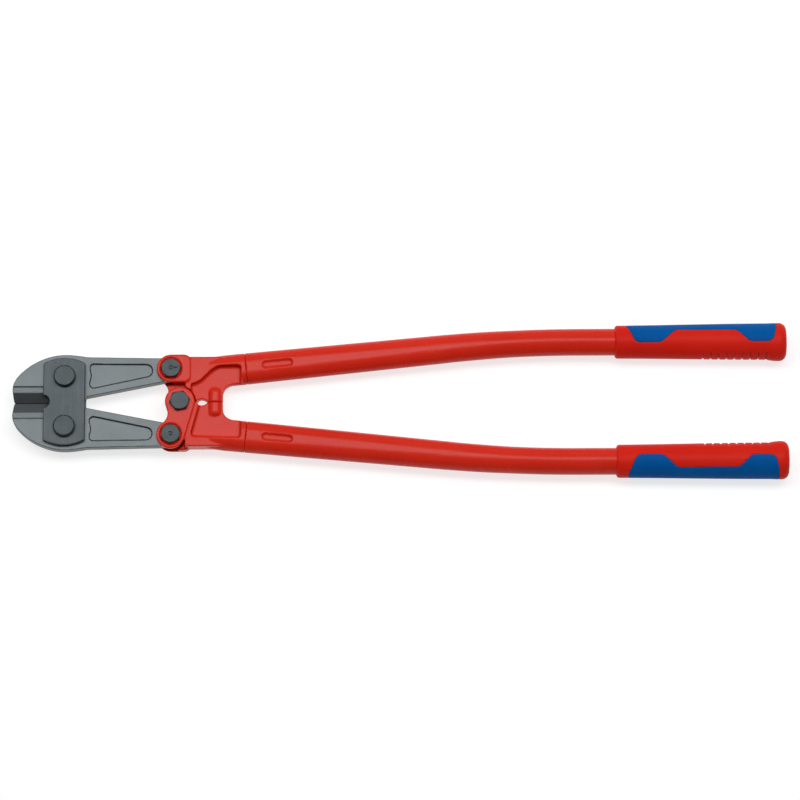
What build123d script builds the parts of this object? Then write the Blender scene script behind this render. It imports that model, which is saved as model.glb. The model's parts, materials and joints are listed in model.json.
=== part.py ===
from build123d import *
from math import atan2, cos, hypot, radians, sin
import os

# Long-handled bolt cutters, closed and lying on their back. All sizes in mm.
# X runs along the tool (jaws at -X), Y across it, Z up from the resting plane.
# The upper half is the +Y one. The lower half is the same forging turned over.
os.makedirs("parts", exist_ok=True)

# Overall
REST = 17.2  # mid-plane of the tool above the resting plane

# Pivots of the upper half, in the mid-plane
LINK = (-328.5, 25.0)
TAIL = (-224.5, 33.0)
CENTRE = (-215.7, 0.0)

# Jaws
JAW_HALF = 5.9
JAW_GAP = 0.04
EDGE_LAND = 0.8
TAIL_R = 10.9
PIN_R = 6.0
RUN = 0.05
TAIL_FREE = 2.6
HEEL = (-304.0, 6.2)
TAIL_TOP = 43.9
TAIL_ROOT = 45.3
PANEL_DEPTH = 1.3

# Link plates
PLATE_IN = 6.1
PLATE_OUT = 11.2
PLATE_X = (-349.4, -308.6)
PLATE_CORNER = 38.4
PLATE_TOP = 43.7
NOTCH_R = 6.2

# Handle heads
EAR_OUT = 10.5
SLOT_HALF = 6.15
SLOT_R = 14.0
BOSS_R = 14.0
LUG_R = 14.6
WAIST_R = 12.0
RELIEF_R = 15.4
LAP = 0.15
WEB_HALF = 4.5
RIM_HALF = 9.2
STOP_GAP = 0.1
COLLAR_X = -155.8
SOCKET_X = -172.0
STOP_X = -181.5
STOP_R = 7.6
SINK_R = 11.0
SINK_DEPTH = 1.2

# Tubes
SLOPE = 5.63
SEAM_X = -151.0
AXIS_AT_ZERO = 49.05
BEND_X = 45.0
BEND_R = 1320.0
STRAIGHT_X = BEND_X + BEND_R * sin(radians(SLOPE))
OVAL = (31.2, 23.0)
MID_OVAL = (28.2, 25.4)
ROUND = 26.4
WALL = 2.2
TANG = 48.0
CRIMP = (31.5, 8.6)
CRIMP_X = -120.0
CRIMP_DEPTH = 1.3
TUBE_END = 368.0

# Grips
GRIP_SECTIONS = (
    (211.3, 16.3, 16.1),
    (255.0, 16.7, 16.7),
    (300.0, 17.4, 17.1),
    (342.0, 17.9, 17.2),
    (361.0, 18.0, 17.2),
)
KNOB_SECTIONS = ((361.0, 18.0, 0.0), (366.0, 18.6, -0.4), (373.0, 18.9, -0.5), (380.0, 18.5, -0.4))
SHELL = 1.8
GROOVES = 9
GROOVE_PITCH = 7.75
GROOVE_FIRST = 297.2
GROOVE_WIDE = 1.9
GROOVE_DEEP = 1.3


def level(z):
    """A sketching plane parallel to the ground, z above the tool's mid-plane."""
    return Plane.XY.offset(REST + z)


def unit(start, end):
    length = hypot(end[0] - start[0], end[1] - start[1])
    return ((end[0] - start[0]) / length, (end[1] - start[1]) / length)


def along(point, direction, distance):
    return (point[0] + direction[0] * distance, point[1] + direction[1] * distance)


def axis_y(x):
    """Half the distance between the two tubes' centre lines at x."""
    if x <= BEND_X:
        return AXIS_AT_ZERO + x * sin(radians(SLOPE)) / cos(radians(SLOPE))
    start = AXIS_AT_ZERO + BEND_X * sin(radians(SLOPE)) / cos(radians(SLOPE))
    run = BEND_R * sin(radians(SLOPE))
    if x >= BEND_X + run:
        return start + BEND_R * (1 - cos(radians(SLOPE)))
    rise = (BEND_R**2 - (run - (x - BEND_X)) ** 2) ** 0.5
    return start + rise - BEND_R * cos(radians(SLOPE))


def across(x):
    """A plane square to the upper tube's centre line: local x outward, local y up."""
    step = 0.05
    angle = atan2(axis_y(x + step) - axis_y(x - step), 2 * step)
    return Plane(
        origin=(x, axis_y(x), REST),
        x_dir=(-sin(angle), cos(angle), 0),
        z_dir=(cos(angle), sin(angle), 0),
    )


# --- Jaws -------------------------------------------------------------------


def tail_tangent():
    """Where the tail's inner edge, from the heel corner, meets the tail's round."""
    reach = hypot(HEEL[0] - TAIL[0], HEEL[1] - TAIL[1])
    bearing = atan2(HEEL[1] - TAIL[1], HEEL[0] - TAIL[0])
    spread = atan2((reach**2 - TAIL_R**2) ** 0.5, TAIL_R)
    angle = bearing + spread
    return along(TAIL, (cos(angle), sin(angle)), TAIL_R)


def jaw_sketch():
    """The outline of the upper jaw seen from above."""
    nose = [(-379.3, 6.5), (-380.0, 13.0), (-377.4, 22.2), (-370.8, 30.2)]
    cheek = [(-360.6, 38.1), (-346.5, 44.7), (-338.0, 46.9), (-329.0, 47.7)]
    root = [(-318.0, 47.1), (-309.0, 45.8), (-300.5, TAIL_ROOT)]
    end = tail_tangent()
    with BuildSketch() as outline:
        with BuildLine():
            Spline(
                [(-377.9, JAW_GAP)] + nose + cheek + root,
                tangents=[(-0.55, 1), (1, -0.02)],
            )
            Line((-300.5, TAIL_ROOT), (TAIL[0], TAIL_TOP))
            ThreePointArc((TAIL[0], TAIL_TOP), (TAIL[0] + TAIL_R, TAIL[1]), end)
            Line(end, HEEL)
            Line(HEEL, (LINK[0], JAW_GAP))
            Line((LINK[0], JAW_GAP), (-377.9, JAW_GAP))
        make_face()
    return outline.sketch


def jaw_panel():
    """The outline of the shallow panel sunk into both faces of a jaw's tail."""
    with BuildSketch() as outline:
        with BuildLine():
            Line((-300.6, 38.6), (-249.0, 38.0))
            ThreePointArc((-249.0, 38.0), (-242.6, 32.2), (-247.7, 25.2))
            Line((-247.7, 25.2), (-299.4, 14.2))
            ThreePointArc((-299.4, 14.2), (-303.1, 15.1), (-304.6, 18.4))
            Spline(
                [(-304.6, 18.4), (-303.0, 26.6), (-304.4, 34.8)], tangents=[(0, 1), (0, 1)]
            )
            ThreePointArc((-304.4, 34.8), (-303.3, 37.5), (-300.6, 38.6))
        make_face()
    return outline.sketch


def edge_cut(side):
    """What is ground off one face of a jaw to leave its cutting edge."""
    with BuildSketch() as outline:
        with BuildLine():
            Polyline(
                (-3.0, REST + side * EDGE_LAND),
                (JAW_GAP, REST + side * EDGE_LAND),
                (9.8, REST + side * 4.9),
                (16.1, REST + side * 5.4),
                (16.1, REST + side * 8.0),
                (-3.0, REST + side * 8.0),
                close=True,
            )
        make_face()
    return outline.sketch


def make_jaw(tail_bore):
    with BuildPart() as jaw:
        with BuildSketch(level(-JAW_HALF)):
            add(jaw_sketch())
        extrude(amount=2 * JAW_HALF)
        with BuildSketch(Plane.YZ.offset(-386.0)):
            add(edge_cut(1))
            add(edge_cut(-1))
        extrude(amount=46.0, mode=Mode.SUBTRACT)
        for side in (1, -1):
            with BuildSketch(level(side * JAW_HALF)):
                add(jaw_panel())
            extrude(amount=-side * PANEL_DEPTH, mode=Mode.SUBTRACT)
        with BuildSketch(level(-JAW_HALF)):
            with Locations(LINK):
                Circle(PIN_R + RUN)
            with Locations(TAIL):
                Circle(tail_bore)
        extrude(amount=2 * JAW_HALF, mode=Mode.SUBTRACT)
    return jaw.part


# --- Link plates and their bolts --------------------------------------------


def make_plate(bottom):
    middle = (PLATE_X[0] + PLATE_X[1]) / 2
    with BuildPart() as plate:
        with BuildSketch(level(bottom)) as face:
            with BuildLine():
                Line((PLATE_X[0], PLATE_CORNER), (PLATE_X[0], -PLATE_CORNER))
                ThreePointArc(
                    (PLATE_X[0], -PLATE_CORNER),
                    (middle, -PLATE_TOP),
                    (PLATE_X[1], -PLATE_CORNER),
                )
                Line((PLATE_X[1], -PLATE_CORNER), (PLATE_X[1], PLATE_CORNER))
                ThreePointArc(
                    (PLATE_X[1], PLATE_CORNER),
                    (middle, PLATE_TOP),
                    (PLATE_X[0], PLATE_CORNER),
                )
            make_face()
            fillet(face.vertices(), radius=1.6)
            with Locations((PLATE_X[0], 0)):
                Circle(NOTCH_R, mode=Mode.SUBTRACT)
            with Locations(LINK, (LINK[0], -LINK[1])):
                Circle(PIN_R + 0.02, mode=Mode.SUBTRACT)
        extrude(amount=PLATE_OUT - PLATE_IN)
        outer = max(bottom, bottom + PLATE_OUT - PLATE_IN, key=abs)
        rim = plate.edges().filter_by_position(Axis.Z, REST + outer - 0.1, REST + outer + 0.1)
        chamfer(rim, length=0.5)
    return plate.part


def round_bolt(centre):
    with BuildPart() as bolt:
        with BuildSketch(level(PLATE_OUT)):
            with Locations(centre):
                Circle(10.75)
        extrude(amount=5.0)
        chamfer(bolt.faces().sort_by(Axis.Z)[-1].edges(), length=1.1)
        with BuildSketch(level(PLATE_OUT)):
            with Locations(centre):
                Circle(PIN_R)
        extrude(amount=-2 * PLATE_OUT)
        with BuildSketch(level(-PLATE_OUT)):
            with Locations(centre):
                Circle(5.0)
        extrude(amount=-5.8)
    return bolt.part


def make_nut(centre, top, height, flats, bore, turn):
    """A hexagon nut hanging down from the level top, its ends chamfered."""
    with BuildPart() as nut:
        with BuildSketch(level(top)):
            with Locations(centre):
                RegularPolygon(flats / 2, 6, major_radius=False, rotation=turn)
        extrude(amount=-height)
        with BuildSketch(level(top)):
            with Locations(centre):
                Circle(flats * 0.5774)
        extrude(amount=-height, taper=-14, mode=Mode.INTERSECT)
        with BuildSketch(level(top)):
            with Locations(centre):
                Circle(bore)
        extrude(amount=-height, mode=Mode.SUBTRACT)
    return nut.part


# --- Hexagon bolts ----------------------------------------------------------


def hex_bolt(centre, seat, shank, tip, turn, marks):
    """A hexagon bolt seated at the level seat, its shank and tip ending lower down."""
    flats = 17.8
    head = 4.6
    with BuildPart() as bolt:
        with BuildSketch(level(seat)):
            with Locations(centre):
                RegularPolygon(flats / 2, 6, major_radius=False, rotation=turn)
        extrude(amount=head)
        with BuildSketch(level(seat + head)):
            with Locations(centre):
                Circle(flats * 0.49)
        extrude(amount=-head, taper=-60, mode=Mode.INTERSECT)
        if marks >= 1:
            with BuildSketch(level(seat + head)):
                with Locations(centre):
                    Circle(2.0)
                    Circle(1.2, mode=Mode.SUBTRACT)
            extrude(amount=-0.35, mode=Mode.SUBTRACT)
        if marks >= 2:
            with BuildSketch(level(seat + head)):
                with Locations((centre[0] + 4.6, centre[1])):
                    SlotOverall(4.4, 0.9)
            extrude(amount=-0.35, mode=Mode.SUBTRACT)
        with BuildSketch(level(seat)):
            with Locations(centre):
                Circle(PIN_R)
        extrude(amount=shank - seat)
        with BuildSketch(level(shank)):
            with Locations(centre):
                Circle(5.0)
        extrude(amount=tip - shank)
    return bolt.part


def make_washer():
    with BuildPart() as washer:
        with BuildSketch(level(-EAR_OUT - 0.1)):
            with Locations(CENTRE):
                Circle(11.4)
                Circle(PIN_R + 0.02, mode=Mode.SUBTRACT)
        extrude(amount=-1.2)
        chamfer(washer.faces().sort_by(Axis.Z)[0].outer_wire().edges(), length=0.3)
    return washer.part


# --- Handle heads -----------------------------------------------------------


def lug_sketch():
    """The waisted outline joining the centre lug to the boss at the jaw bolt."""
    apart = hypot(TAIL[0] - CENTRE[0], TAIL[1] - CENTRE[1])
    low = LUG_R + WAIST_R
    high = BOSS_R + WAIST_R
    reach = (low**2 - high**2 + apart**2) / (2 * apart)
    side = (low**2 - reach**2) ** 0.5
    line = unit(CENTRE, TAIL)
    left = (-line[1], line[0])
    waist = along(along(CENTRE, line, reach), left, side)
    low_left = along(CENTRE, unit(CENTRE, waist), LUG_R)
    mid_left = along(waist, left, -WAIST_R)
    high_left = along(TAIL, unit(TAIL, waist), BOSS_R)
    low_right = along(CENTRE, left, -LUG_R)
    high_right = along(TAIL, left, -BOSS_R)
    with BuildSketch() as outline:
        with BuildLine():
            ThreePointArc(low_left, mid_left, high_left)
            ThreePointArc(high_left, along(TAIL, line, BOSS_R), high_right)
            Line(high_right, low_right)
            ThreePointArc(low_right, along(CENTRE, line, -LUG_R), low_left)
        make_face()
    return outline.sketch


def boss_sketch():
    """The raised pad around the jaw bolt on the face that carries no centre lug."""
    low = TAIL[1] - BOSS_R
    high = TAIL[1] + BOSS_R
    with BuildSketch() as outline:
        with BuildLine():
            Line((TAIL[0], high), (-205.4, high))
            Line((-205.4, high), (-205.4, low))
            Line((-205.4, low), (TAIL[0], low))
            ThreePointArc((TAIL[0], low), (TAIL[0] - BOSS_R, TAIL[1]), (TAIL[0], high))
        make_face()
        fillet(outline.vertices().sort_by(Axis.X)[-2:], radius=6.0)
    return outline.sketch


def web_sketch():
    """The outline of the head behind the lug, out to the start of the tube socket."""
    tip = (cos(radians(SLOPE)), sin(radians(SLOPE)))
    inner = along((COLLAR_X, axis_y(COLLAR_X)), (tip[1], -tip[0]), OVAL[0] / 2 - 1.2)
    with BuildSketch() as outline:
        with BuildLine():
            Line((-210.5, STOP_GAP), (-200.4, STOP_GAP))
            ThreePointArc((-200.4, STOP_GAP), (-194.4, 3.1), (-188.7, STOP_GAP))
            Line((-188.7, STOP_GAP), (-173.7, STOP_GAP))
            Line((-173.7, STOP_GAP), (-173.7, 6.0))
            Spline([(-173.7, 6.0), inner], tangents=[(0, 1), tip])
            Line(inner, (COLLAR_X, 40.0))
            Line((COLLAR_X, 40.0), (-177.0, 44.9))
            Line((-177.0, 44.9), (-210.5, 44.9))
            Line((-210.5, 44.9), (-210.5, STOP_GAP))
        make_face()
    return outline.sketch


def relief_pocket():
    """The hollow in the face of a head that carries no centre lug."""
    with BuildSketch() as outline:
        with BuildLine():
            Line((-204.8, 17.4), (-205.0, -6.0))
            Line((-205.0, -6.0), (COLLAR_X, -6.0))
            Line((COLLAR_X, -6.0), (COLLAR_X, 32.6))
            ThreePointArc((COLLAR_X, 32.6), (-156.8, 35.1), (-159.4, 36.1))
            Line((-159.4, 36.1), (-174.0, 35.9))
            Spline(
                [(-174.0, 35.9), (-182.5, 33.2), (-190.2, 26.6), (-197.6, 20.2), (-204.8, 17.4)],
                tangents=[(-1, -0.02), (-0.9, -0.35)],
            )
        make_face()
    return outline.sketch


def lug_pocket():
    """The hollow beside the centre lug, on the face of a head that carries it."""
    with BuildSketch() as outline:
        with BuildLine():
            Line((-197.6, 5.0), (-197.6, -6.0))
            Line((-197.6, -6.0), (COLLAR_X, -6.0))
            Line((COLLAR_X, -6.0), (COLLAR_X, 33.4))
            ThreePointArc((COLLAR_X, 33.4), (-156.9, 36.0), (-159.4, 37.0))
            Line((-159.4, 37.0), (-200.8, 35.6))
            ThreePointArc((-200.8, 35.6), (-204.0, 33.7), (-204.6, 30.4))
            Line((-204.6, 30.4), (-197.6, 5.0))
        make_face()
    return outline.sketch


def fork_slot():
    """The room the jaw's tail needs between the ears over the whole stroke."""
    top = (cos(radians(38)), sin(radians(38)))
    low = (cos(radians(-80)), sin(radians(-80)))
    side = (cos(radians(-21)), sin(radians(-21)))
    start = along(TAIL, low, SLOT_R)
    end = along(TAIL, top, SLOT_R)
    with BuildSketch() as outline:
        with BuildLine():
            ThreePointArc(start, along(TAIL, side, SLOT_R), end)
            Line(end, along(end, (-top[1], top[0]), 22.0))
            Line(along(end, (-top[1], top[0]), 22.0), (-250.0, 62.0))
            Line((-250.0, 62.0), (-250.0, 13.0))
            Line((-250.0, 13.0), start)
        make_face()
    return outline.sketch


def hollow(outline, side):
    """The solid scooped out of one face of a head, with a rounded foot."""
    with BuildPart() as scoop:
        with BuildSketch(level(side * WEB_HALF)):
            add(outline)
        extrude(amount=side * 12.0)
        foot = scoop.edges().filter_by(lambda edge: abs(edge.center().Z - REST) < WEB_HALF + 0.1)
        fillet(foot, radius=2.6)
    return scoop.part


def raised(outline, side, foot):
    """A pad standing up to the ear's face from the level foot, its crown rounded."""
    with BuildPart() as pad:
        with BuildSketch(level(foot)):
            add(outline)
        extrude(amount=side * EAR_OUT - foot)
        fillet(pad.faces().sort_by(Axis.Z)[-1 if side > 0 else 0].edges(), radius=1.2)
    return pad.part


def stop_pad():
    """Half of the stop that limits closing: a round-ended stub across the web."""
    with BuildPart() as pad:
        with BuildSketch(Plane.YZ.offset(STOP_X)):
            with BuildLine():
                Line((STOP_GAP, REST), (STOP_GAP, REST + STOP_R))
                Line((STOP_GAP, REST + STOP_R), (9.5, REST + STOP_R))
                Spline(
                    [(9.5, REST + STOP_R), (13.6, REST + 5.2), (15.2, REST)],
                    tangents=[(1, 0), (0, -1)],
                )
                Line((15.2, REST), (STOP_GAP, REST))
            make_face()
        revolve(axis=Axis((STOP_X, 0, REST), (0, 1, 0)))
    return pad.part


def make_head():
    """The upper handle's forging: fork for the jaw, centre lug, stop and tube tang."""
    with BuildPart() as head:
        with BuildSketch(level(-RIM_HALF)):
            add(web_sketch())
        extrude(amount=2 * RIM_HALF)
        with BuildSketch(across(SOCKET_X)):
            SlotOverall(*OVAL)
        extrude(amount=SEAM_X - SOCKET_X)
        with BuildSketch(across(SOCKET_X)):
            SlotOverall(*OVAL)
        with BuildSketch(across(SOCKET_X - 20.0)):
            SlotOverall(OVAL[0] - 2.0, 2 * RIM_HALF - 1.0)
        loft()
        add(hollow(relief_pocket(), 1), mode=Mode.SUBTRACT)
        add(hollow(lug_pocket(), -1), mode=Mode.SUBTRACT)
        add(raised(lug_sketch(), -1, -LAP))
        add(raised(boss_sketch(), 1, -LAP))
        add(stop_pad())
        with BuildSketch(level(-LAP)):
            with Locations(CENTRE):
                Circle(RELIEF_R)
        extrude(amount=14.0, mode=Mode.SUBTRACT)
        with BuildSketch(level(-SLOT_HALF)):
            add(fork_slot())
        extrude(amount=2 * SLOT_HALF, mode=Mode.SUBTRACT)
        for side in (1, -1):
            with BuildSketch(level(side * EAR_OUT)):
                with Locations(TAIL):
                    Circle(SINK_R)
            extrude(amount=-side * SINK_DEPTH, mode=Mode.SUBTRACT)
        with BuildSketch(level(-EAR_OUT - 1.0)):
            with Locations(TAIL):
                Circle(PIN_R + 0.02)
            with Locations(CENTRE):
                Circle(PIN_R + RUN)
        extrude(amount=2 * EAR_OUT + 2.0, mode=Mode.SUBTRACT)
        with BuildSketch(across(SEAM_X - 2.0)):
            SlotOverall(OVAL[0] - 2 * WALL - 0.8, OVAL[1] - 2 * WALL - 0.8)
        extrude(amount=TANG)
    return head.part


# --- Tubes ------------------------------------------------------------------


def tube_body(inset):
    """The upper tube as a solid, drawn in by inset: pressed oval, then round."""
    bent = [BEND_X + step * (STRAIGHT_X - BEND_X) / 6 for step in range(7)]
    with BuildPart() as body:
        for x, size in ((SEAM_X, OVAL), (BEND_X, MID_OVAL)):
            with BuildSketch(across(x)):
                SlotOverall(size[0] - 2 * inset, size[1] - 2 * inset)
        loft()
        for x in bent:
            share = min(1.0, (x - BEND_X) / 70.0)
            wide = MID_OVAL[0] + (ROUND + 0.02 - MID_OVAL[0]) * share
            high = MID_OVAL[1] + (ROUND - MID_OVAL[1]) * share
            with BuildSketch(across(x)):
                SlotOverall(wide - 2 * inset, high - 2 * inset)
        loft()
        with BuildSketch(across(STRAIGHT_X)):
            SlotOverall(ROUND + 0.02 - 2 * inset, ROUND - 2 * inset)
        extrude(amount=TUBE_END - STRAIGHT_X)
    return body.part


def make_tube():
    with BuildPart() as tube:
        add(tube_body(0.0))
        add(tube_body(WALL), mode=Mode.SUBTRACT)
        for side in (1, -1):
            with BuildSketch(level(side * (OVAL[1] / 2 + CRIMP_DEPTH))):
                with Locations(Location((CRIMP_X, axis_y(CRIMP_X)), SLOPE)):
                    SlotOverall(*CRIMP)
            extrude(amount=-side * 2 * CRIMP_DEPTH, taper=20, mode=Mode.SUBTRACT)
    return tube.part


def make_plug():
    """The cap pressed into the grip end of the upper tube."""
    with BuildPart() as plug:
        with BuildSketch(across(TUBE_END)):
            Circle(ROUND / 2)
        extrude(amount=1.6)
        with BuildSketch(across(TUBE_END)):
            Circle(ROUND / 2 - WALL - 0.05)
        extrude(amount=-14.0)
        with BuildSketch(across(TUBE_END)):
            Circle(ROUND / 2 - WALL - 2.4)
        extrude(amount=-14.0, mode=Mode.SUBTRACT)
    return plug.part


# --- Grips ------------------------------------------------------------------


def grip_half(x):
    """Half the grip's width and height at x, short of its end knob."""
    for start, end in zip(GRIP_SECTIONS, GRIP_SECTIONS[1:]):
        if x <= end[0]:
            share = (x - start[0]) / (end[0] - start[0])
            return (
                start[1] + (end[1] - start[1]) * share,
                start[2] + (end[2] - start[2]) * share,
            )
    return GRIP_SECTIONS[-1][1:]


def grip_body(inset):
    """The upper grip as a solid, drawn in by inset."""
    high_end = GRIP_SECTIONS[-1][2]
    with BuildPart() as body:
        for x, wide, high in GRIP_SECTIONS:
            with BuildSketch(across(x)):
                Ellipse(wide - inset, high - inset)
        loft()
        for x, wide, shift in KNOB_SECTIONS:
            with BuildSketch(across(x)):
                with Locations((shift, 0)):
                    Ellipse(wide - inset, high_end - inset)
        loft()
        fillet(body.faces().sort_by(Axis.X)[0].edges(), radius=2.8)
        fillet(body.faces().sort_by(Axis.X)[-1].edges(), radius=7.0)
    return body.part


def inlay_sketch():
    """The inlay's outline from above: two lobes joined by a narrow waist."""
    middle = axis_y(300.0)
    low = middle - 3.9
    waist = middle + 8.9
    with BuildSketch() as outline:
        with BuildLine():
            Polyline(
                (221.0, 82.0),
                (223.0, 74.0),
                (231.5, low),
                (256.5, low),
                (270.5, waist),
                (331.0, waist - 0.3),
                (343.5, low + 0.6),
                (366.0, low + 0.6),
                (369.6, 70.0),
                (370.4, 82.0),
                close=True,
            )
        make_face()
        inner = outline.vertices().sort_by(Axis.Y)[:6]
        fillet(inner, radius=7.0)
        fillet(outline.vertices().sort_by(Axis.X)[-3:-1], radius=3.0)
    return outline.sketch


def make_inlay():
    """The soft panel let into the outer side of the upper grip."""
    with BuildPart() as inlay:
        add(grip_body(0.0))
        with BuildSketch(level(-30.0)):
            add(inlay_sketch())
        extrude(amount=60.0, mode=Mode.INTERSECT)
        add(grip_body(SHELL), mode=Mode.SUBTRACT)
    return inlay.part


def make_grip(inlay):
    with BuildPart() as grip:
        add(grip_body(0.0))
        add(inlay, mode=Mode.SUBTRACT)
        for index in range(GROOVES):
            x = GROOVE_FIRST + index * GROOVE_PITCH
            wide, high = grip_half(x)
            with BuildSketch(across(x)):
                Rectangle(50.0, 50.0)
                Ellipse(wide - GROOVE_DEEP, high - GROOVE_DEEP, mode=Mode.SUBTRACT)
                with Locations((-21.0, 0)):
                    Rectangle(16.0, 50.0, mode=Mode.INTERSECT)
            extrude(amount=GROOVE_WIDE, mode=Mode.SUBTRACT)
        with BuildSketch(across(200.0)):
            Circle(ROUND / 2 + 0.05)
        extrude(amount=TUBE_END + 2.0 - 200.0, mode=Mode.SUBTRACT)
    return grip.part


# --- The two halves and what joins them -------------------------------------


def turned_over(shape):
    """The same piece on the lower half: the tool is turned over about its length."""
    return Pos(0, 0, REST) * Rot(180, 0, 0) * Pos(0, 0, -REST) * shape


def save(name, shape):
    shape.label = name
    export_step(shape, "parts/" + name + ".step")


def main():
    low_link = (LINK[0], -LINK[1])
    low_tail = (TAIL[0], -TAIL[1])
    seat = EAR_OUT - SINK_DEPTH

    save("upper_jaw", make_jaw(PIN_R + RUN))
    save("lower_jaw", turned_over(make_jaw(PIN_R + TAIL_FREE)))

    save("front_link_plate", make_plate(PLATE_IN))
    save("back_link_plate", make_plate(-PLATE_OUT))
    save("upper_link_bolt", round_bolt(LINK))
    save("lower_link_bolt", round_bolt(low_link))
    save("upper_link_nut", make_nut(LINK, -PLATE_OUT, 6.0, 19.0, 5.02, 12))
    save("lower_link_nut", make_nut(low_link, -PLATE_OUT, 6.0, 19.0, 5.02, 41))

    save("upper_jaw_bolt", hex_bolt(TAIL, seat, -seat, -seat - 5.4, 0, 2))
    save("lower_jaw_bolt", hex_bolt(low_tail, seat, -seat, -seat - 5.4, 30, 1))
    save("upper_jaw_nut", make_nut(TAIL, -seat, 5.6, 17.0, 5.02, 8))
    save("lower_jaw_nut", make_nut(low_tail, -seat, 5.6, 17.0, 5.02, 23))

    under = -EAR_OUT - 1.3
    save("centre_bolt", hex_bolt(CENTRE, EAR_OUT, under, -REST + 0.2, 10, 0))
    save("centre_washer", make_washer())
    save("centre_nut", make_nut(CENTRE, under, REST + under, 17.0, 5.02, 17))

    head = make_head()
    tube = make_tube()
    plug = make_plug()
    inlay = make_inlay()
    grip = make_grip(inlay)
    for name, shape in (
        ("handle_head", head),
        ("handle_tube", tube),
        ("tube_plug", plug),
        ("grip", grip),
        ("grip_inlay", inlay),
    ):
        save("upper_" + name, shape)
        save("lower_" + name, turned_over(shape))


main()
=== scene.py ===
import json
import math

import bpy
from mathutils import Matrix, Vector


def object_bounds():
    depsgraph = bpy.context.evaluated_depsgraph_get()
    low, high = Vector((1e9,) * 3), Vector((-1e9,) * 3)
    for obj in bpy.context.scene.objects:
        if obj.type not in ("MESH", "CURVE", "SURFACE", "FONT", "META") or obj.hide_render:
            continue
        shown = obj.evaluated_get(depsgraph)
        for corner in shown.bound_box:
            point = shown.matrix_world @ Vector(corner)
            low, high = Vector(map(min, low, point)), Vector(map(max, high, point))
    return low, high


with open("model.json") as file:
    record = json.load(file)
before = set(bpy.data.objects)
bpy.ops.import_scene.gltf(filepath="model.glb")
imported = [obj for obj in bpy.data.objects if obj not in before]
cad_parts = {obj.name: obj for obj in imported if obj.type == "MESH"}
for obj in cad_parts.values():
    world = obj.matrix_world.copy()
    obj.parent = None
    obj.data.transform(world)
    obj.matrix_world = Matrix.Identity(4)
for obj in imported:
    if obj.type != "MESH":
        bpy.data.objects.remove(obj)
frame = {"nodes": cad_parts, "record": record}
cad_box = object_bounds()
NODES = frame["nodes"]
scene = bpy.context.scene

MM = 0.001

# How each kind of piece is eased: size of the skin's voxels in mm, rounds of smoothing.
HEAD_SKIN = (0.6, 9)
JAW_SKIN = (0.5, 2)
GRIP_SKIN = (0.7, 2)
TUBE_SKIN = (0.9, 2)
PLATE_SKIN = (0.45, 2)
FASTENER_SKIN = (0.32, 3)
PLUG_SHARP = math.radians(25)

FLOOR_HALF = 6.0

KEY_PLACE = (0.0, 0.42, 1.9)
KEY_SIZE = (2.8, 0.6)
KEY_WATTS = 33.0
BACK_PLACE = (0.0, 1.9, 0.9)
BACK_SIZE = (3.0, 0.9)
BACK_WATTS = 2.5

# The surroundings brighten from the near side of the room to the far side.
SKY_COLOUR = (0.95, 0.97, 1.0, 1.0)
SKY_NEAR_AND_FAR = (-0.55, 0.35)
SKY_STRENGTHS = (0.06, 0.32)

DISTANCE = 4.0
VIEW_END = 20.0
LENS = 183.4
SENSOR = 36.0
TILT = math.radians(12.5)
ROLL = math.radians(-0.22)
AIM_SHIFT = Vector((0.0, 2.4 * MM, 0.0))

RANGE_SOCKETS = ("From Min", "From Max", "To Min", "To Max")


# --- Node helpers -------------------------------------------------------------


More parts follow.
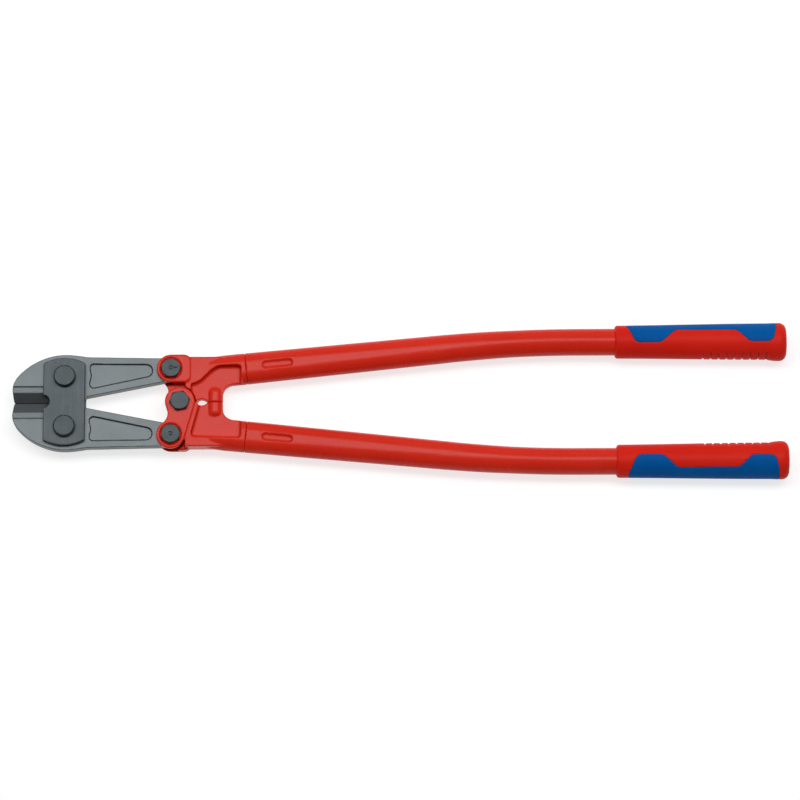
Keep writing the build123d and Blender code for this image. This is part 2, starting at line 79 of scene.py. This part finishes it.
class Shader:
    """A material built node by node around one Principled shader."""

    def __init__(self, name, **values):
        self.material = bpy.data.materials.new(name)
        self.material.use_nodes = True
        self.tree = self.material.node_tree
        self.main = self.tree.nodes["Principled BSDF"]
        for socket, value in values.items():
            self.main.inputs[socket.replace("_", " ")].default_value = value
        self.place = self.node("ShaderNodeTexCoord").outputs["Object"]

    def node(self, kind, **settings):
        made = self.tree.nodes.new(kind)
        for key, value in settings.items():
            setattr(made, key, value)
        return made

    def link(self, source, target):
        self.tree.links.new(source, target)

    def scaled(self, scale):
        mapping = self.node("ShaderNodeMapping")
        mapping.inputs["Scale"].default_value = scale
        self.link(self.place, mapping.inputs["Vector"])
        return mapping.outputs["Vector"]

    def noise(self, scale, detail=3.0, roughness=0.55, stretch=None):
        made = self.node("ShaderNodeTexNoise")
        made.inputs["Scale"].default_value = scale
        made.inputs["Detail"].default_value = detail
        made.inputs["Roughness"].default_value = roughness
        self.link(self.scaled(stretch) if stretch else self.place, made.inputs["Vector"])
        return made.outputs["Fac"]

    def ramp(self, source, reads, dark, light):
        """Runs from one colour to another as the source crosses the range it reads."""
        made = self.node("ShaderNodeValToRGB")
        for element, position, colour in zip(made.color_ramp.elements, reads, (dark, light)):
            element.position = position
            element.color = (*colour, 1.0)
        self.link(source, made.inputs["Fac"])
        return made.outputs["Color"]

    def span(self, source, reads, gives=(0.0, 1.0)):
        """Maps the range it reads from the source onto the range it gives."""
        made = self.node("ShaderNodeMapRange")
        for socket, value in zip(RANGE_SOCKETS, (*reads, *gives)):
            made.inputs[socket].default_value = value
        self.link(source, made.inputs["Value"])
        return made.outputs["Result"]

    def product(self, one, two):
        made = self.node("ShaderNodeMath", operation="MULTIPLY")
        for socket, value in zip(made.inputs, (one, two)):
            if isinstance(value, float):
                socket.default_value = value
            else:
                self.link(value, socket)
        return made.outputs["Value"]

    def mix(self, factor, one, two):
        made = self.node("ShaderNodeMix", data_type="RGBA")
        for name, value in (("Factor", factor), ("A", one), ("B", two)):
            socket = [s for s in made.inputs if s.name == name and s.enabled][0]
            if isinstance(value, tuple):
                socket.default_value = (*value, 1.0)
            else:
                self.link(value, socket)
        return [s for s in made.outputs if s.enabled][0]

    def pointed(self, start, full):
        """Rises from 0 to 1 as the surface's pointiness goes from start to full."""
        return self.span(self.node("ShaderNodeNewGeometry").outputs["Pointiness"], (start, full))

    def colour(self, source):
        self.link(source, self.main.inputs["Base Color"])

    def rough(self, source):
        self.link(source, self.main.inputs["Roughness"])

    def bumps(self, *layers):
        """Each layer is (height source, depth in mm)."""
        last = None
        for height, depth in layers:
            made = self.node("ShaderNodeBump")
            made.inputs["Strength"].default_value = 1.0
            made.inputs["Distance"].default_value = depth * MM
            self.link(height, made.inputs["Height"])
            if last:
                self.link(last, made.inputs["Normal"])
            last = made.outputs["Normal"]
        self.link(last, self.main.inputs["Normal"])


# --- Materials ----------------------------------------------------------------
# Pointiness is 0.5 on flats, more on outer edges and less in hollows.


def enamel():
    """Glossy red enamel, with painted highlights on its edges and painted shade in its corners.
    """
    s = Shader("red_enamel", Specular_IOR_Level=0.14)
    cloud = s.noise(scale=14.0, detail=4.0)
    lit = s.ramp(cloud, (0.3, 0.7), dark=(0.64, 0.021, 0.008), light=(0.68, 0.026, 0.011))
    # Painted highlight: the outer edges are lightened in patches to stand in for light caught on
    # them.
    patches = s.span(s.noise(scale=160.0, detail=5.0), (0.35, 0.75))
    painted_edge_highlight = s.product(s.pointed(start=0.56, full=0.66), patches)
    # Painted shade: the hollows and corners are darkened where shade falls.
    painted_shade = s.product(s.pointed(start=0.49, full=0.44), 0.8)
    edge_highlighted = s.mix(painted_edge_highlight, lit, (0.80, 0.07, 0.05))
    s.colour(s.mix(painted_shade, edge_highlighted, (0.24, 0.006, 0.004)))
    s.rough(s.span(s.noise(scale=55.0, detail=4.0), (0.3, 0.7), gives=(0.23, 0.30)))
    s.bumps((s.noise(scale=420.0, detail=2.0), 0.03), (s.noise(scale=90.0), 0.05))
    return s.material


def jaw_steel():
    """Forged, sand-blasted alloy steel with painted highlights on its edges and painted shade in
    its hollows.
    """
    s = Shader("jaw_steel", Metallic=0.85)
    grain = s.noise(scale=1500.0, roughness=0.6)
    broad = s.noise(scale=38.0, detail=5.0, roughness=0.6)
    base = s.ramp(broad, (0.25, 0.75), dark=(0.083, 0.094, 0.098), light=(0.104, 0.116, 0.121))
    speck = s.mix(s.span(grain, (0.35, 0.7), gives=(0.0, 0.35)), base, (0.155, 0.172, 0.178))
    # Painted highlight: the outer edges are lightened to stand in for light caught on them.
    with_painted_highlight = s.mix(s.pointed(start=0.54, full=0.63), speck, (0.30, 0.32, 0.33))
    # Painted shade: the hollows are darkened where shade falls.
    s.colour(s.mix(s.pointed(start=0.485, full=0.44), with_painted_highlight, (0.018, 0.022, 0.025)))
    s.rough(s.span(grain, (0.3, 0.7), gives=(0.38, 0.50)))
    s.bumps((grain, 0.05), (s.noise(scale=240.0), 0.06))
    return s.material


def plate_steel():
    """Dark milled plate, its tool marks running across the tool."""
    s = Shader("plate_steel", Metallic=0.75)
    lines = s.noise(scale=900.0, detail=4.0, roughness=0.7, stretch=(1.0, 0.02, 1.0))
    broad = s.noise(scale=60.0, detail=4.0)
    base = s.ramp(broad, (0.3, 0.7), dark=(0.045, 0.054, 0.060), light=(0.060, 0.070, 0.077))
    marked = s.mix(s.span(lines, (0.4, 0.75), gives=(0.0, 0.4)), base, (0.10, 0.115, 0.122))
    # Painted highlight: the outer edges are lightened to stand in for light caught on them.
    with_painted_highlight = s.mix(s.pointed(start=0.52, full=0.60), marked, (0.18, 0.20, 0.21))
    # Painted shade: the hollows are darkened where shade falls.
    s.colour(s.mix(s.pointed(start=0.48, full=0.42), with_painted_highlight, (0.012, 0.015, 0.018)))
    s.rough(s.span(lines, (0.3, 0.7), gives=(0.40, 0.55)))
    s.bumps((lines, 0.04), (s.noise(scale=500.0), 0.03))
    return s.material


def bolt_steel():
    """Blackened bolts and nuts with a faint painted highlight on their edges and painted shade
    in their hollows.
    """
    s = Shader("bolt_steel", Metallic=0.7)
    cloud = s.noise(scale=130.0, detail=5.0, roughness=0.6)
    base = s.ramp(cloud, (0.3, 0.7), dark=(0.029, 0.037, 0.040), light=(0.042, 0.051, 0.054))
    # Painted highlight: the outer edges are lightened to stand in for light caught on them.
    with_painted_highlight = s.mix(s.pointed(start=0.52, full=0.60), base, (0.15, 0.17, 0.18))
    # Painted shade: the hollows are darkened where shade falls.
    s.colour(s.mix(s.pointed(start=0.48, full=0.42), with_painted_highlight, (0.012, 0.015, 0.016)))
    s.rough(s.span(cloud, (0.3, 0.7), gives=(0.36, 0.50)))
    s.bumps((s.noise(scale=1100.0), 0.04), (s.noise(scale=170.0), 0.06))
    return s.material


def grip_red():
    """Hard moulded red with a fine spark-eroded texture."""
    s = Shader("grip_red", Specular_IOR_Level=0.06)
    cloud = s.noise(scale=20.0)
    broad = s.ramp(cloud, (0.3, 0.7), dark=(0.64, 0.015, 0.007), light=(0.69, 0.019, 0.009))
    # Painted shade: the hollows are darkened where shade falls.
    dark = s.mix(s.pointed(start=0.485, full=0.42), broad, (0.22, 0.008, 0.007))
    # Painted highlight: the outer edges are lightened to stand in for light caught on them.
    s.colour(s.mix(s.pointed(start=0.55, full=0.65), dark, (0.72, 0.04, 0.02)))
    s.rough(s.span(s.noise(scale=900.0), (0.3, 0.7), gives=(0.36, 0.48)))
    s.bumps((s.noise(scale=1400.0), 0.05), (s.noise(scale=120.0, detail=2.0), 0.05))
    return s.material


def grip_blue():
    """Soft blue moulding, satin, with a fine leather-like skin."""
    s = Shader("grip_blue", Specular_IOR_Level=0.04)
    cloud = s.noise(scale=24.0)
    broad = s.ramp(cloud, (0.3, 0.7), dark=(0.0001, 0.082, 0.310), light=(0.0002, 0.098, 0.350))
    # Painted shade: the hollows are darkened where shade falls.
    dark = s.mix(s.pointed(start=0.485, full=0.42), broad, (0.001, 0.02, 0.06))
    # Painted highlight: the outer edges are lightened to stand in for light caught on them.
    s.colour(s.mix(s.pointed(start=0.55, full=0.65), dark, (0.004, 0.12, 0.40)))
    cells = s.node("ShaderNodeTexVoronoi", feature="DISTANCE_TO_EDGE")
    cells.inputs["Scale"].default_value = 1300.0
    s.link(s.place, cells.inputs["Vector"])
    skin = cells.outputs["Distance"]
    s.rough(s.span(skin, (0.0, 0.3), gives=(0.56, 0.42)))
    s.bumps((s.span(skin, (0.0, 0.12)), 0.06), (s.noise(scale=160.0, detail=2.0), 0.05))
    return s.material


def plug_black():
    """Plain black plastic."""
    s = Shader("plug_black", Roughness=0.55)
    cloud = s.noise(scale=60.0)
    s.colour(s.ramp(cloud, (0.3, 0.7), dark=(0.012, 0.012, 0.013), light=(0.02, 0.02, 0.022)))
    s.bumps((s.noise(scale=700.0), 0.05))
    return s.material


def floor_white():
    """A studio floor that glows enough to come out white."""
    s = Shader("floor_white", Roughness=0.9, Specular_IOR_Level=0.0, Emission_Strength=0.74)
    s.main.inputs["Emission Color"].default_value = (1.0, 1.0, 1.0, 1.0)
    cloud = s.noise(scale=3.0)
    s.colour(s.ramp(cloud, (0.3, 0.7), dark=(0.34, 0.34, 0.34), light=(0.36, 0.36, 0.36)))
    return s.material


MATERIALS = {
    "jaw_steel": jaw_steel(),
    "link_steel": plate_steel(),
    "bolt_steel": bolt_steel(),
    "red_enamel": enamel(),
    "grip_red": grip_red(),
    "grip_blue": grip_blue(),
    "plug_plastic": plug_black(),
}


# --- Finish of the CAD pieces -------------------------------------------------


def smooth_shaded(piece, sharp_angle):
    mesh = piece.data
    mesh.polygons.foreach_set("use_smooth", [True] * len(mesh.polygons))
    mesh.set_sharp_from_angle(angle=sharp_angle)


def eased(piece, skin):
    """Rounds every edge of a piece a little with a new, smoothed skin."""
    voxel, rounds = skin
    remesh = piece.modifiers.new("skin", "REMESH")
    remesh.mode = "VOXEL"
    remesh.voxel_size = voxel * MM
    remesh.use_smooth_shade = True
    soften = piece.modifiers.new("ease", "SMOOTH")
    soften.factor = 0.5
    soften.iterations = rounds


for part in frame["record"]["subparts"]:
    piece = NODES[part["node"]]
    piece.data.materials.clear()
    piece.data.materials.append(MATERIALS[part["material_slot"]])

for name, piece in NODES.items():
    if "head" in name:
        eased(piece, HEAD_SKIN)
    elif name.endswith("_jaw"):
        eased(piece, JAW_SKIN)
    elif "grip" in name:
        eased(piece, GRIP_SKIN)
    elif name.endswith("_tube"):
        eased(piece, TUBE_SKIN)
    elif name.endswith("_plug"):
        smooth_shaded(piece, PLUG_SHARP)
    elif "plate" in name:
        eased(piece, PLATE_SKIN)
    else:
        eased(piece, FASTENER_SKIN)


# --- Floor, light and camera --------------------------------------------------


def placed(name, data):
    made = bpy.data.objects.new(name, data)
    scene.collection.objects.link(made)
    return made


def square_floor(half):
    mesh = bpy.data.meshes.new("floor")
    corners = [(-half, -half, 0), (half, -half, 0), (half, half, 0), (-half, half, 0)]
    mesh.from_pydata(corners, [], [(0, 1, 2, 3)])
    mesh.materials.append(floor_white())
    return placed("floor", mesh)


def softbox(name, place, size, watts):
    """A rectangular lamp that faces the middle of the floor."""
    lamp = bpy.data.lights.new(name, "AREA")
    lamp.shape = "RECTANGLE"
    lamp.size, lamp.size_y = size
    lamp.energy = watts
    made = placed(name, lamp)
    made.location = place
    made.rotation_euler = (-Vector(place)).to_track_quat("-Z", "Y").to_euler()


def surroundings():
    world = bpy.data.worlds.new("studio")
    scene.world = world
    world.use_nodes = True
    sky = world.node_tree
    backing = sky.nodes["Background"]
    backing.inputs["Color"].default_value = SKY_COLOUR
    toward = sky.nodes.new("ShaderNodeTexCoord").outputs["Generated"]
    split = sky.nodes.new("ShaderNodeSeparateXYZ")
    grade = sky.nodes.new("ShaderNodeMapRange")
    for socket, value in zip(RANGE_SOCKETS, (*SKY_NEAR_AND_FAR, *SKY_STRENGTHS)):
        grade.inputs[socket].default_value = value
    sky.links.new(toward, split.inputs["Vector"])
    sky.links.new(split.outputs["Y"], grade.inputs["Value"])
    sky.links.new(grade.outputs["Result"], backing.inputs["Strength"])


floor = square_floor(FLOOR_HALF)
softbox("key", KEY_PLACE, KEY_SIZE, KEY_WATTS)
softbox("back", BACK_PLACE, BACK_SIZE, BACK_WATTS)
surroundings()

scene.view_settings.view_transform = "Standard"
scene.view_settings.look = "None"

low, high = cad_box
centre = (Vector(low) + Vector(high)) / 2
camera = placed("camera", bpy.data.cameras.new("camera"))
camera.data.lens = LENS
camera.data.sensor_width = SENSOR
camera.data.clip_end = VIEW_END
camera.matrix_world = (
    Matrix.Translation(centre + AIM_SHIFT)
    @ Matrix.Rotation(TILT, 4, "X")
    @ Matrix.Translation((0.0, 0.0, DISTANCE))
    @ Matrix.Rotation(ROLL, 4, "Z")
)
scene.camera = camera
